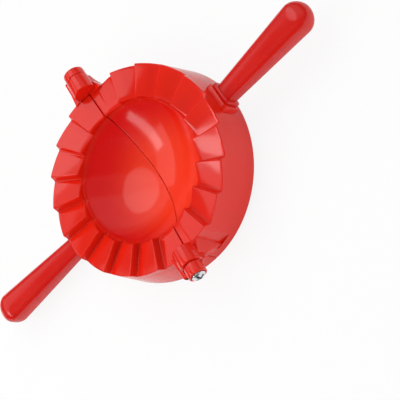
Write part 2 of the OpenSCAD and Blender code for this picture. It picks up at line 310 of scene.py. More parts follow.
# Worked out from the above: seam, bowl's sphere
SKIRT_R = RIM_R + SKIRT_FLARE
NOTCH_Y = KNUCKLE_IN - KNUCKLE_CLEAR
HALF_OPEN = math.radians(OPEN_ANGLE / 2)
SEAM_LOW = HINGE_Z * math.tan(HALF_OPEN) - SEAM_GAP_LOW / 2
SEAM_HIGH = (HINGE_Z - RIM_Z) * math.tan(HALF_OPEN) - SEAM_GAP_HIGH / 2
BOWL_DEPTH = BOWL_TOP - BOWL_FLOOR
BALL_R = (BOWL_R ** 2 + BOWL_DEPTH ** 2) / (2 * BOWL_DEPTH)
BALL_Z = BOWL_FLOOR + BALL_R


def steps(a, b, n):
    """n values from a to b, both ends included."""
    return np.linspace(a, b, n)


def quarter(n):
    """n angles over a quarter turn, in radians."""
    return steps(0, math.pi / 2, n)


def full_turn(n):
    """n angles round a full turn, in radians, without the last that meets the first."""
    return np.linspace(0, 2 * math.pi, n, endpoint=False)


# Meshes
def grid(points, close_rows=False, close_cols=False):
    """Vertices and quads of a grid of points [row, column, xyz], its first and last row or column joined if asked."""
    rows, cols = points.shape[:2]
    r = np.arange(rows if close_rows else rows - 1)
    c = np.arange(cols if close_cols else cols - 1)
    r, c = np.meshgrid(r, c, indexing="ij")
    r2, c2 = (r + 1) % rows, (c + 1) % cols
    quads = np.stack([r * cols + c, r * cols + c2, r2 * cols + c2, r2 * cols + c], -1)
    return points.reshape(-1, 3), quads.reshape(-1, 4)


def merge(*parts):
    """One list of vertices and one of quads from several."""
    start = np.cumsum([0] + [len(v) for v, _ in parts[:-1]])
    return np.vstack([v for v, _ in parts]), np.vstack([q + s for (_, q), s in zip(parts, start)])


def mirrored(part, axis=1):
    """The part seen in a mirror square to an axis, with its faces still outwards."""
    verts, quads = part
    flip = np.ones(3)
    flip[axis] = -1
    return verts * flip, quads[:, ::-1]


def turned(part):
    """The part turned half a turn about Z."""
    verts, quads = part
    return verts * [-1, -1, 1], quads


def raised(part):
    """The part of the right half, raised about the hinge by the opening angle."""
    verts, quads = part
    a = math.radians(OPEN_ANGLE)
    x, z = verts[:, 0], verts[:, 2] - HINGE_Z
    return np.stack([x * math.cos(a) - z * math.sin(a), verts[:, 1],
                     x * math.sin(a) + z * math.cos(a) + HINGE_Z], -1), quads


def piece(name, parts, body, node, material, sharp=SHARP_ANGLE):
    """Makes one mesh of closed parts, smooth but for edges sharper than an angle, in place of a CAD node."""
    verts, quads = merge(*parts)
    mesh = bpy.data.meshes.new(name)
    mesh.from_pydata(((verts + [0, RIM_Y, 0]) * MM).tolist(), [], quads.tolist())
    bm = bmesh.new()
    bm.from_mesh(mesh)
    bmesh.ops.remove_doubles(bm, verts=bm.verts, dist=MERGE)
    bmesh.ops.dissolve_degenerate(bm, edges=bm.edges, dist=DEGENERATE)
    bmesh.ops.recalc_face_normals(bm, faces=bm.faces)
    bm.to_mesh(mesh)
    bm.free()
    mesh.shade_smooth()
    mesh.set_sharp_from_angle(angle=math.radians(sharp))
    mesh.materials.append(material)
    obj = bpy.data.objects.new(name, mesh)
    bpy.context.scene.collection.objects.link(obj)
    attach(obj, body)
    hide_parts(node)
    return obj


def capped(rings):
    """A closed skin over rings [ring, point, xyz], with both ends closed to their middles."""
    first = np.repeat(rings[:1].mean(1, keepdims=True), rings.shape[1], 1)
    last = np.repeat(rings[-1:].mean(1, keepdims=True), rings.shape[1], 1)
    return grid(np.concatenate([first, rings, last]), close_cols=True)


# Pleats
def saw_knots():
    """Corners of the saw-tooth over one half, as degrees from the seam and heights from -0.5 to 0.5."""
    pitch = 180 / PLEATS
    run = math.degrees(STEP_RUN / RIM_R)
    half = pitch - run / 2
    k = np.arange(1, PLEATS)
    crest = np.stack([k * pitch - run / 2, np.full(len(k), 0.5)], -1)
    foot = np.stack([k * pitch + run / 2, np.full(len(k), -0.5)], -1)
    ends = [[-SPARE_ANGLE, -0.5 * SPARE_ANGLE / half], [180 + SPARE_ANGLE, 0.5 * SPARE_ANGLE / half]]
    knots = np.vstack([ends[:1], np.stack([crest, foot], 1).reshape(-1, 2), ends[1:]])
    return knots[:, 0], knots[:, 1]


def saw(angle, window):
    """Saw-tooth with rounded corners: its mean over a window each side of the angle, by its exact integral."""
    x, y = saw_knots()
    area = np.concatenate([[0], np.cumsum((y[1:] + y[:-1]) / 2 * np.diff(x))])
    slope = np.diff(y) / np.diff(x)

    def integral(t):
        """Area under the saw-tooth up to t: a parabola over each straight stretch."""
        i = np.clip(np.searchsorted(x, t) - 1, 0, len(slope) - 1)
        d = t - x[i]
        return area[i] + y[i] * d + slope[i] * d * d / 2
    return (integral(angle + window) - integral(angle - window)) / (2 * window)


def saw_angles():
    """Angles of the grid's columns over one half: close together at each step, wider along each pleat."""
    pitch = 180 / PLEATS
    reach = math.degrees((STEP_RUN / 2 + PLEAT_ROUND) / RIM_R)
    step = np.concatenate([[-STEP_CLEAR * reach], steps(-reach, reach, STEP_COLS), [STEP_CLEAR * reach]])
    along = steps(PLEAT_CLEAR * reach, pitch - PLEAT_CLEAR * reach, PLEAT_COLS)
    inner = [np.concatenate([k * pitch + step, k * pitch + along]) for k in range(1, PLEATS - 1)]
    first = steps(0, pitch - PLEAT_CLEAR * reach, END_COLS)
    last = np.concatenate([(PLEATS - 1) * pitch + step, 180 - first[::-1]])
    return np.concatenate([first, *inner, last])


def rim_height(r, wave):
    """Height of the rim's surface: it falls towards the bowl, and the saw-tooth grows towards the bowl."""
    share = (r - BOWL_R) / (RIM_R - BOWL_R)
    return RIM_Z - RIM_FALL * (1 - share) + (STEP_INNER + (STEP_OUTER - STEP_INNER) * share) * wave


def ball(r, grow=0.0):
    """Height of the bowl's sphere at radius r, for a sphere larger by grow."""
    return BALL_Z - np.sqrt((BALL_R + grow) ** 2 - r ** 2)


# Half shell: an upper face and an under face, which run from the bowl's middle to the cutting edge
def upper_profile(wave):
    """Radius and height, [row, column], of the upper face: bowl, wall, rounded edge, rim, rounded edge, skirt.

    The bowl is a sphere, and bends up into its wall along a parabola.
    """
    one = np.ones_like(wave)
    inner_top = rim_height(BOWL_R, wave)
    outer_top = rim_height(RIM_R, wave)
    bend_r = BOWL_R - BOWL_BEND
    bend_z = ball(bend_r)
    corner = ball(BOWL_R)
    bend_top = np.minimum(corner + BEND_RISE, inner_top - INNER_ROUND)
    rows = [(r * one, ball(r) * one) for r in steps(0, bend_r, BOWL_ROWS)]
    for t in steps(0, 1, BEND_ROWS)[1:]:
        rows.append(((bend_r * (1 - t) ** 2 + 2 * BOWL_R * BEND_PULL * t * (1 - t) + BOWL_R * t * t) * one,
                     bend_z * (1 - t) ** 2 + 2 * np.minimum(corner, bend_top) * t * (1 - t) + bend_top * t * t))
    for t in WALL_SHARES:
        rows.append((BOWL_R * one, bend_top + (inner_top - INNER_ROUND - bend_top) * t))
    for a in quarter(ROUND_ROWS):
        rows.append(((BOWL_R + INNER_ROUND * (1 - math.cos(a))) * one, inner_top - INNER_ROUND * (1 - math.sin(a))))
    for r in (BOWL_R + RIM_CLEAR * INNER_ROUND, *steps(BOWL_R + RIM_START, NOTCH_Y - NOTCH_MARGIN, RIM_ROWS),
              NOTCH_Y - NOTCH_STEP, NOTCH_Y + NOTCH_STEP, RIM_R - RIM_CLEAR * EDGE_ROUND):
        rows.append((r * one, rim_height(r, wave)))
    for a in quarter(ROUND_ROWS):
        rows.append(((RIM_R - EDGE_ROUND * (1 - math.sin(a))) * one, outer_top - EDGE_ROUND * (1 - math.cos(a))))
    skirt_top = RIM_Z - STEP_OUTER
    for t in SKIRT_SHARES:
        rows.append((RIM_R * one, (outer_top - EDGE_ROUND) * (1 - t) + skirt_top * t))
    ledge = FLAT_FOOT + np.array(FLAT_FOOT_ROWS)
    for z in (skirt_top - SKIRT_STEP, *SKIRT_HEIGHTS, *ledge, SKIRT_STEP, 2 * CUT_ROUND):
        rows.append(((RIM_R + SKIRT_FLARE * (1 - z / RIM_Z)) * one, z * one))
    for a in quarter(EDGE_ROWS):
        rows.append(((SKIRT_R - CUT_ROUND * (1 - math.cos(a))) * one, CUT_ROUND * (1 - math.sin(a)) * one))
    return np.array(rows).transpose(1, 0, 2)


def under_profile(wave, count):
    """Radius and height of the under face, as many rows as the upper face: bowl, rim sheet, skirt, cutting edge."""
    one = np.ones_like(wave)
    out_r = BOWL_R + BOWL_WALL
    in_r = RIM_R - SKIRT_WALL
    edge_r = SKIRT_R - CUT_WALL
    foot = ball(out_r, BOWL_WALL)
    sheet = np.maximum(rim_height(out_r, wave) - SHEET, foot + BOWL_LAP)
    rows = [(r * one, ball(r, BOWL_WALL) * one) for r in steps(0, out_r, BOWL_UNDER_ROWS)]
    for t in UNDER_WALL_SHARES:
        rows.append((out_r * one, foot * (1 - t) + sheet * t))
    for r in steps(out_r + RIM_UNDER_START, in_r - RIM_UNDER_END, RIM_UNDER_ROWS):
        rows.append((r * one, np.maximum(rim_height(r, wave) - SHEET, foot + BOWL_LAP)))
    cut = ((edge_r - CUT_LEDGE, CUT_H + CUT_LEDGE + CUT_STEP), (edge_r, CUT_H + CUT_STEP), (edge_r, CUT_H / 2),
           (edge_r, 2 * CUT_ROUND), (edge_r + CUT_ROUND * CUT_BEND, CUT_ROUND * CUT_BEND), (edge_r + CUT_ROUND, 0.0))
    top = rim_height(in_r, wave) - SHEET
    for t in steps(SKIRT_UNDER_START, 1, count - len(rows) - len(cut)):
        z = top * (1 - t) + (CUT_H + SKIRT_WALL) * t
        rows.append((in_r + SKIRT_FLARE * (1 - z / RIM_Z), z))
    for r, z in cut:
        rows.append((r * one, z * one))
    return np.array(rows).transpose(1, 0, 2)


def seam_x(z):
    """How far the straight face lies past the middle plane at height z: it leans by half the opening angle."""
    return SEAM_LOW + (SEAM_HIGH - SEAM_LOW) * z / RIM_Z


def placed(r, z, angle):
    """Points [row, column, xyz] of one face: circles, drawn to the straight face over the last degrees of each end."""
    a = np.radians(angle)
    near = np.clip(1 - np.minimum(angle, 180 - angle) / SEAM_REACH, 0, 1)
    x = -r * np.sin(a) + near * (seam_x(z) - SEAM_ROUND)
    return np.stack([x, r * np.cos(a), z], -1)


def flattened(r, z, angle, r_in, r_out, wall, low, x_min):
    """Radii drawn in to a flat plane near each end of the rim, above a height and past a distance from the seam.

    The plane leans out with the skirt. Between r_in and r_out the radii are scaled, so that rows stay apart.
    """
    a = np.radians(angle)
    plane = FLAT_Y - wall + SKIRT_FLARE * np.clip(1 - z / RIM_Z, 0, 1)
    limit = plane / np.maximum(np.abs(np.cos(a)), TINY)
    share = np.clip((z - low) / FLAT_FADE, 0, 1) * (plane * np.abs(np.tan(a)) > x_min)
    scaled = np.where(r > r_in, r_in + (r - r_in) * np.clip((limit - r_in) / (r_out - r_in), 0, 1), r)
    drawn = np.where(r < r_out, scaled, np.minimum(r, limit))
    return r + (drawn - r) * share


def half_shell(notch):
    """Closed shell of one half on the -X side: the two faces, the cutting edge between them and the straight face.

    The left half has the notches for the other half's knuckles, and the right half has flat ends.
    """
    angle = saw_angles()
    wave = saw(angle, math.degrees(PLEAT_ROUND / RIM_R))
    up_r, up_z = upper_profile(wave)
    down_r, down_z = under_profile(wave, len(up_r))
    if notch:
        up_z, down_z = notched(up_r, up_z, angle), notched(down_r, down_z, angle)
    else:
        up_r = flattened(up_r, up_z, angle, BOWL_R + FLAT_RIM_START, RIM_R, 0.0, FLAT_FOOT - FLAT_FOOT_STEP, WEB_X)
        down_r = flattened(down_r, down_z, angle, BOWL_R + BOWL_WALL + RIM_UNDER_START, RIM_R - SKIRT_WALL, SKIRT_WALL,
                           CUT_H + FLAT_FADE, 0.0)
    up, down = placed(up_r, up_z, angle), placed(down_r, down_z, angle)
    up, down = rounded_ends(up, down)
    skin = np.concatenate([up, down[::-1]])
    ends = [np.stack([up[:, c], down[:, c]], 1) for c in (0, -1)]
    return merge(grid(skin), *[grid(e) for e in ends])


def notched(r, z, angle):
    """Heights with the other half's knuckles given room: a cylinder about the hinge, past the knuckle's face."""
    a = np.radians(angle)
    x, y = r * np.sin(a), np.abs(r * np.cos(a))
    inside = (x < NOTCH_R) & (y > NOTCH_Y)
    low = HINGE_Z - np.sqrt(np.clip(NOTCH_R ** 2 - x ** 2, 0, None))
    return np.where(inside, np.minimum(z, low), z)


def rounded_ends(up, down):
    """Adds the rounding of the straight face's edges: columns that go to the face while the two sides draw together."""
    thick = down - up
    length = np.linalg.norm(thick, axis=-1, keepdims=True)
    way = np.where(length > TINY, thick / np.maximum(length, TINY), 0)
    bend = np.minimum(SEAM_ROUND, length / 3)

    def columns(side, sign, c, order):
        """Columns past column c of one side: a quarter circle in to the face, towards the other side."""
        out = []
        for a in order:
            p = side[:, c] + sign * way[:, c] * bend[:, c] * (1 - math.cos(a))
            p[:, 0] = side[:, c, 0] + SEAM_ROUND * math.sin(a)
            out.append(p)
        return np.stack(out, 1)
    bends = quarter(CORNER_ROWS)[1:]
    return tuple(np.concatenate([columns(s, k, 0, bends[::-1]), s, columns(s, k, -1, bends)], 1)
                 for s, k in ((up, 1), (down, -1)))


def rounded_box(half_w, half_h, corner):
    """Outline [point, 2] of a rectangle with rounded corners: four quarter circles, anticlockwise."""
    a = quarter(CORNER_ROWS)
    arc = np.stack([np.cos(a), np.sin(a)], -1) * corner
    turn = np.array([[0, -1], [1, 0]])
    centres = np.array([[1, 1], [-1, 1], [-1, -1], [1, -1]]) * [half_w - corner, half_h - corner]
    return np.vstack([arc @ np.linalg.matrix_power(turn, k).T + centre for k, centre in enumerate(centres)])


def bar(y, x0, x1, z0, z1, corner):
    """Closed bar along Y: a rounded rectangle from x0 to x1 and from z0 to z1 at each y, with its last end rounded."""
    y, x0, x1, z0, z1 = (np.asarray(v, float) * np.ones(len(y)) for v in (y, x0, x1, z0, z1))

    def ring(k, inset=0.0, shift=0.0):
        """Outline at row k, drawn in by an inset and moved along Y."""
        w, h = (x1[k] - x0[k]) / 2 - inset, (z1[k] - z0[k]) / 2 - inset
        o = rounded_box(w, h, max(min(corner - inset, w, h), SMALLEST_CORNER))
        x, z = o[:, 0] + (x0[k] + x1[k]) / 2, o[:, 1] + (z0[k] + z1[k]) / 2
        return np.stack([x, np.full(len(o), y[k] + shift), z], -1)
    rings = [ring(k) for k in range(len(y) - 1)]
    rings += [ring(-1, corner * (1 - math.sin(a)), -corner * (1 - math.cos(a))) for a in quarter(EDGE_ROWS)[::-1]]
    return capped(np.array(rings))


def about_hinge(r, y, angle):
    """Points [row, column, xyz] at radii r and places y along the hinge, turned about its axis to each angle."""
    r, y, angle = np.broadcast_arrays(r, y, angle)
    return np.stack([r * np.cos(angle), y, r * np.sin(angle) + HINGE_Z], -1)


def turned_profile(profile, n=LATHE_COLS, ring=False):
    """Closed surface of a profile [(radius, place along Y)] turned about the hinge, a ring if its ends are to meet."""
    profile = np.asarray(profile, float)
    return grid(about_hinge(profile[:, :1], profile[:, 1:], full_turn(n)), close_rows=ring, close_cols=True)


def rounded_corner(r, y, size, out_y, n=CORNER_ROWS):
    """Profile points of a rounded outer corner at radius r and place y, met from smaller radius, on the out_y side."""
    return [(r - size + size * math.sin(t), y - out_y * (size - size * math.cos(t))) for t in quarter(n)]


def barrel(r, y_in, y_out, edge, outer_edge, outer_rows=CORNER_ROWS):
    """Profile of a barrel's faces from y_in to y_out, with rounded edges."""
    side = 1 if y_out > y_in else -1
    return rounded_corner(r, y_in, edge, -side) + rounded_corner(r, y_out, outer_edge, side, outer_rows)[::-1]


def knuckle(side, bore, bore_end):
    """Inner knuckle at one end of the hinge, with a bore of a radius from its outer face in to bore_end."""
    y_in, y_out = side * KNUCKLE_IN, side * KNUCKLE_OUT
    inside = [(bore + BORE_EDGE, y_out), (bore, y_out - side * BORE_EDGE), (bore, bore_end), (0, bore_end)]
    return turned_profile([(0, y_in), *barrel(KNUCKLE_R, y_in, y_out, KNUCKLE_EDGE, KNUCKLE_EDGE), *inside])


def bracket(side, y, x0, x1, z_top, y_out, corner, wall):
    """Bar along the hinge from the skirt's wall outwards, between x0 and x1 at each y, curved up underneath.

    Its lower edge is a sine: it leaves the skirt steeply at its foot and is level at its lip at y_out. Its inner
    end is pushed out to a cylinder of a radius inside the skirt's wall.
    """
    share = np.clip((y - RIM_R) / (y_out - RIM_R), 0, 1)
    z0 = BRACKET_FOOT + (z_top - BRACKET_LIP - BRACKET_FOOT) * np.sin(share * math.pi / 2)
    verts, quads = bar(y, x0, x1, z0, z_top, corner)
    verts[:, 1] = np.maximum(verts[:, 1], np.sqrt(np.clip(wall ** 2 - verts[:, 0] ** 2, 0, None)))
    return (verts, quads) if side > 0 else mirrored((verts, quads))


def left_arm(side, y_out):
    """Arm of the left half along one end of the hinge, and the block that joins it to the outer knuckle."""
    far = ARM_X + ARM_W
    root_y = KNUCKLE_IN - ARM_SINK
    straight_y = KNUCKLE_OUT - ARM_STRAIGHT
    y = np.concatenate([steps(root_y, straight_y, ARM_ROWS), steps(straight_y + BAR_STEP, y_out, ARM_ROWS)])
    x0 = -far - ARM_ROOT * np.clip((straight_y - y) / (straight_y - root_y), 0, 1)
    wall = RIM_R - SKIRT_WALL / 2
    arm = bracket(side, y, x0, -ARM_X, ARM_TOP, y_out, ARM_ROUND, wall)
    block = bracket(side, steps(OUTER_IN, y_out, BLOCK_ROWS), -far + BLOCK_INSET, 0.0, ARM_TOP - BLOCK_INSET, y_out,
                    BLOCK_ROUND, wall)
    return merge(arm, block)


def right_bracket(side):
    """Bracket of the right half under its knuckle: it narrows along a straight line from the flat end wall."""
    wall = FLAT_Y - SKIRT_WALL / 2
    end = FLAT_Y + GUSSET_LEN
    y = np.concatenate([[wall], steps(FLAT_Y, end, ARM_ROWS), steps(end + BAR_STEP, KNUCKLE_OUT, BRACKET_ROWS)])
    x1 = WEB_X + GUSSET_W * np.clip((end - y) / GUSSET_LEN, 0, 1)
    return bracket(side, y, SEAM_GAP_HIGH, x1, ARM_TOP - BRACKET_DROP, KNUCKLE_OUT, BLOCK_ROUND, wall)


def web():
    """Web on one side of the bowl along the straight face: a plate from its lower edge up into the bowl and the rim."""
    start = math.sqrt((BALL_R + BOWL_WALL / 2) ** 2 - (BALL_Z - WEB_Z) ** 2)
    inner_end = BOWL_R + BOWL_WALL / 2
    y = steps(start, RIM_R - SKIRT_WALL / 2, WEB_ROWS)
    top = np.where(y < inner_end, ball(np.minimum(y, inner_end), BOWL_WALL / 2), rim_height(y, 0.0) - SHEET / 2)
    top = np.maximum(top, WEB_Z + WEB_LEAST)
    rings = []
    for k in range(len(y)):
        h = (top[k] - WEB_Z) / 2
        o = rounded_box(WEB_WALL / 2, h, min(WEB_ROUND, h * WEB_SHARE))
        z = o[:, 1] + (top[k] + WEB_Z) / 2
        rings.append(np.stack([o[:, 0] - WEB_WALL / 2 + seam_x(z), np.full(len(o), y[k]), z], -1))
    return capped(np.array(rings))


def ring_at(x, outline):
    """Outline [point, 2] stood square to X at x, about the handle's height."""
    return np.stack([np.full(len(outline), x), outline[:, 0], outline[:, 1] + HANDLE_Z], -1)


def plate_x(x0, x1, half_w, half_h, corner):
    """Closed plate square to X from x0 to x1, with rounded corners and rounded edges at x1."""
    out = rounded_box(half_w, half_h, corner)
    grow = [(x0, 0.0)] + [(x1 - PLATE_ROUND + PLATE_ROUND * math.sin(a), PLATE_ROUND * (1 - math.cos(a)))
                          for a in quarter(EDGE_ROWS)]
    return capped(np.array([ring_at(x, out * (1 - inset / np.array([half_w, half_h]))) for x, inset in grow]))


def pad():
    """Pad outside the skirt that a handle is plugged into, and the sleeve inside it, on the +X side."""
    outer = plate_x(RIM_R - PAD_SINK, PAD_X, PAD_W / 2, PAD_H / 2, PAD_CORNER)
    start, end = PAD_X - SLEEVE_LEN, RIM_R - SLEEVE_SINK
    sleeve = plate_x(start, end, TONGUE_W / 2 + SLEEVE_WALL, TONGUE_H / 2 + SLEEVE_WALL, SLEEVE_CORNER)
    verts, quads = mirrored(sleeve, 0)
    return merge(outer, (verts + [start + end, 0, 0], quads))


def oval(a, b, power):
    """Outline [point, 2] of a superellipse with half axes a and b."""
    t = full_turn(GRIP_COLS)
    c, s = np.cos(t), np.sin(t)
    return np.stack([a * np.sign(c) * np.abs(c) ** (2 / power), b * np.sign(s) * np.abs(s) ** (2 / power)], -1)


def grip(root):
    """Grip from its root to its tip on the +X side: a superellipse that grows along it and closes in a round end."""
    centre = HANDLE_REACH - HANDLE_W / 2
    start = root - GRIP_SINK
    along = np.concatenate([[0.0], steps(GRIP_START, 1, GRIP_ROWS)])
    round_end = quarter(BALL_ROWS)[1:]
    x = np.concatenate([start + (centre - root + GRIP_SINK) * along, centre + HANDLE_W / 2 * np.sin(round_end)])
    grown = np.concatenate([along, np.ones(len(round_end))])
    close = np.concatenate([np.ones(len(along)), np.cos(round_end)])
    close[-1] = BALL_CLOSE
    width = close * (ROOT_W + (HANDLE_W - ROOT_W) * grown) / 2
    height = close * (ROOT_H + (HANDLE_H - ROOT_H) * grown) / 2
    power = BALL_POWER + (GRIP_POWER - BALL_POWER) * close
    return capped(np.array([ring_at(*row[:1], oval(*row[1:])) for row in zip(x, width, height, power)]))


def handle():
    """Handle on the +X side: its grip, the collar with rounded edges at the root and the tongue inside the half."""
    root = PAD_X + COLLAR_T
    foot = PAD_X + COLLAR_GAP
    e = COLLAR_ROUND
    bends = quarter(EDGE_ROWS)
    rows = [(foot + e * (1 - math.cos(a)), e * (1 - math.sin(a))) for a in bends]
    rows += [(root - e * (1 - math.sin(a)), e * (1 - math.cos(a))) for a in bends]
    ring = capped(np.array([ring_at(x, oval(COLLAR_W / 2 - inset, COLLAR_H / 2 - inset, COLLAR_POWER))
                            for x, inset in rows]))
    tongue = plate_x(PAD_X - TONGUE_LEN, PAD_X + TONGUE_SINK, TONGUE_W / 2, TONGUE_H / 2, TONGUE_CORNER)
    return merge(grip(root), ring, tongue)


def cap():
    """Closed end knuckle of the left half, with a rounded outer edge, and its peg."""
    body = [(0, OUTER_IN), *barrel(CAP_R, OUTER_IN, CAP_END, KNUCKLE_EDGE, CAP_ROUND, CAP_ROUND_ROWS), (0, CAP_END)]
    peg_end, peg_root = OUTER_IN - PEG_LEN, OUTER_IN + PEG_SINK
    peg = [(0, peg_end), *rounded_corner(PEG_R, peg_end, PEG_ROUND, -1), (PEG_R, peg_root), (0, peg_root)]
    return merge(turned_profile(body), turned_profile(peg, PEG_COLS))


def collar():
    """End knuckle of the left half round the screw: a ring with the head's recess in its outer face."""
    hole = SCREW_R + SCREW_CLEAR
    return turned_profile([(hole, -OUTER_IN), *barrel(COLLAR_R, -OUTER_IN, -COLLAR_END, COLLAR_EDGE, COLLAR_EDGE),
                           (RECESS_R + RECESS_EDGE, -COLLAR_END), (RECESS_R, -COLLAR_END + RECESS_EDGE),
                           (RECESS_R, -SCREW_SEAT), (hole, -SCREW_SEAT)], ring=True)


def screw_head(angle):
    """Rows of the head: a domed face with a cross slot sunk in it by soft steps, then its rounded edge and its seat."""
    top = -SCREW_SEAT - HEAD_H
    face_r = HEAD_R - HEAD_EDGE
    shoulder = DOME_R - math.sqrt(DOME_R ** 2 - face_r ** 2)
    arm = CROSS_LEN / 2
    r = np.concatenate([steps(0, arm + SLOT_END, SLOT_ROWS), steps(arm + HEAD_START, face_r, HEAD_ROWS)])[:, None]
    u, v = np.abs(r * np.cos(angle)), np.abs(r * np.sin(angle))

    def inside(p, half):
        """1 within half a width of a middle line, 0 outside, with a soft step between."""
        return np.clip((half - p) / CROSS_SOFT + 0.5, 0, 1)
    slot = np.maximum(inside(u, CROSS_W / 2) * inside(v, arm), inside(v, CROSS_W / 2) * inside(u, arm))
    dome = np.sqrt(DOME_R ** 2 - r ** 2) - DOME_R
    rim = [(face_r + HEAD_EDGE * math.sin(t), top + shoulder + HEAD_EDGE * (1 - math.cos(t)))
           for t in quarter(CORNER_ROWS)]
    rim = np.array(rim + [(HEAD_R, -SCREW_SEAT - HEAD_FOOT), (HEAD_R - HEAD_FOOT, -SCREW_SEAT), (SCREW_R, -SCREW_SEAT)])
    return [about_hinge(r, top - dome + CROSS_DEPTH * slot, angle), about_hinge(rim[:, :1], rim[:, 1:], angle)]


def screw_shank(angle):
    """Rows of the shank: a radius that narrows to a point, cut by a helix whose depth is a parabola over the pitch."""
    point = SCREW_LEN - SCREW_POINT
    thread = steps(SCREW_NECK, point, THREAD_TURNS * THREAD_ROWS)
    length = np.array([*thread, SCREW_LEN - POINT_ROW, SCREW_LEN])[:, None]
    base = np.interp(length, [0, point, SCREW_LEN], [SCREW_R, SCREW_R, SCREW_POINT_R])
    phase = length / THREAD_PITCH - angle / (2 * math.pi)
    ridge = np.abs((phase % 1.0) - 0.5) * 2
    r = base - THREAD_DEPTH * (1 - ridge ** 2) * np.clip(length / THREAD_RUN_IN, 0, 1) * (base / SCREW_R)
    shank = about_hinge(r, length - SCREW_SEAT, angle)
    return [shank, np.repeat(shank[-1:].mean(1, keepdims=True), len(angle), 1)]


def screw():
    """Pan-head screw: a domed head with a cross slot sunk in it, and a threaded shank with a point."""
    angle = full_turn(SCREW_COLS)
    return grid(np.concatenate(screw_head(angle) + screw_shank(angle)), close_cols=True)


# Materials
def node_group(name, inputs, outputs):
    """Empty shader group with named sockets, and its input and output nodes."""
    group = bpy.data.node_groups.new(name, "ShaderNodeTree")
    for kind, rows in (("INPUT", inputs), ("OUTPUT", outputs)):
        for label, socket, *value in rows:
            made = group.interface.new_socket(name=label, in_out=kind, socket_type="NodeSocket" + socket)
            if value:
                made.default_value = value[0]
    return group, group.nodes.new("NodeGroupInput"), group.nodes.new("NodeGroupOutput")


def put(tree, kind, **settings):
    """Node of a kind with its settings: properties by name, and input values or links by socket name."""
    node = tree.nodes.new("ShaderNode" + kind)
    for key, value in settings.items():
        if key == "inputs":
            for socket, source in value.items():
                target = node.inputs[socket]
                if isinstance(source, bpy.types.NodeSocket):
                    tree.links.new(source, target)
                else:
                    target.default_value = source
        else:
            setattr(node, key, value)
    return node


def tone_group():
    """Slow drift between two shades of one moulded colour: fractal noise on Object coordinates, mixed by an amount."""
    group, given, out = node_group(
        "moulded_tone",
        [("Colour", "Color", HALF_RED), ("Deep Colour", "Color", HALF_RED_DEEP),
         ("Scale", "Float", 30.0), ("Amount", "Float", 0.5)],
        [("Colour", "Color")])
    place = put(group, "TexCoord").outputs["Object"]
    drift = put(group, "TexNoise", inputs={"Vector": place, "Scale": given.outputs["Scale"], "Detail": 3.0})
    share = put(group, "Math", operation="MULTIPLY",
                inputs={0: drift.outputs["Fac"], 1: given.outputs["Amount"]})
    mix = put(group, "Mix", data_type="RGBA", inputs={0: share.outputs[0], 6: given.outputs["Colour"],
                                                      7: given.outputs["Deep Colour"]})
    group.links.new(mix.outputs[2], out.inputs["Colour"])
    return group


def skin_group():
    """Moulded skin: low flow waves, fine grain and hairline scratches, as a height in millimetres and a roughness.

    Waves and grain are fractal noise. A scratch is where noise stretched along one way crosses its middle value.
    """
    group, given, out = node_group(
        "moulded_skin",
        [("Waves", "Float", 0.01), ("Grain", "Float", 0.002), ("Scratches", "Float", 0.002),
         ("Roughness", "Float", 0.15), ("Roughness Spread", "Float", 0.06)],
        [("Height", "Float"), ("Roughness", "Float")])
    place = put(group, "TexCoord").outputs["Object"]
    wave = put(group, "TexNoise", inputs={"Vector": place, "Scale": WAVE_SCALE, "Detail": 1.0})
    grain = put(group, "TexNoise", inputs={"Vector": place, "Scale": GRAIN_SCALE, "Detail": 3.0})
    lines = []
    for turn, scale in SCRATCH_WAYS:
        stretch = put(group, "Mapping", inputs={"Vector": place, "Rotation": turn, "Scale": scale})
        noise = put(group, "TexNoise", inputs={"Vector": stretch.outputs[0], "Scale": 1.0, "Detail": 2.0})
        off = put(group, "Math", operation="SUBTRACT", inputs={0: noise.outputs["Fac"], 1: 0.5})
        far = put(group, "Math", operation="ABSOLUTE", inputs={0: off.outputs[0]})
        line = put(group, "MapRange", interpolation_type="SMOOTHSTEP",
                   inputs={"Value": far.outputs[0], "From Max": SCRATCH_WIDTH, "To Min": 1.0, "To Max": 0.0})
        lines.append(line.outputs[0])
    scratch = put(group, "Math", operation="MAXIMUM", inputs={0: lines[0], 1: lines[1]}).outputs[0]
    patchy = put(group, "TexNoise", inputs={"Vector": place, "Scale": PATCH_SCALE, "Detail": 2.0})
    worn = put(group, "MapRange", inputs={"Value": patchy.outputs["Fac"], "From Min": PATCH_FROM, "From Max": PATCH_TO})
    scratch = put(group, "Math", operation="MULTIPLY", inputs={0: scratch, 1: worn.outputs[0]}).outputs[0]

    def times(value, amount):
        """A value times one of the group's inputs."""
        return put(group, "Math", operation="MULTIPLY", inputs={0: value, 1: given.outputs[amount]}).outputs[0]
    height = put(group, "Math", operation="ADD",
                 inputs={0: times(wave.outputs["Fac"], "Waves"), 1: times(grain.outputs["Fac"], "Grain")})
    height = put(group, "Math", operation="SUBTRACT", inputs={0: height.outputs[0], 1: times(scratch, "Scratches")})
    rough = put(group, "Math", operation="MULTIPLY_ADD",
                inputs={0: patchy.outputs["Fac"], 1: given.outputs["Roughness Spread"], 2: given.outputs["Roughness"]})
    rough = put(group, "Math", operation="MULTIPLY_ADD", inputs={0: scratch, 1: SCRATCH_ROUGHNESS, 2: rough.outputs[0]})
    group.links.new(height.outputs[0], out.inputs["Height"])
    group.links.new(rough.outputs[0], out.inputs["Roughness"])
    return group


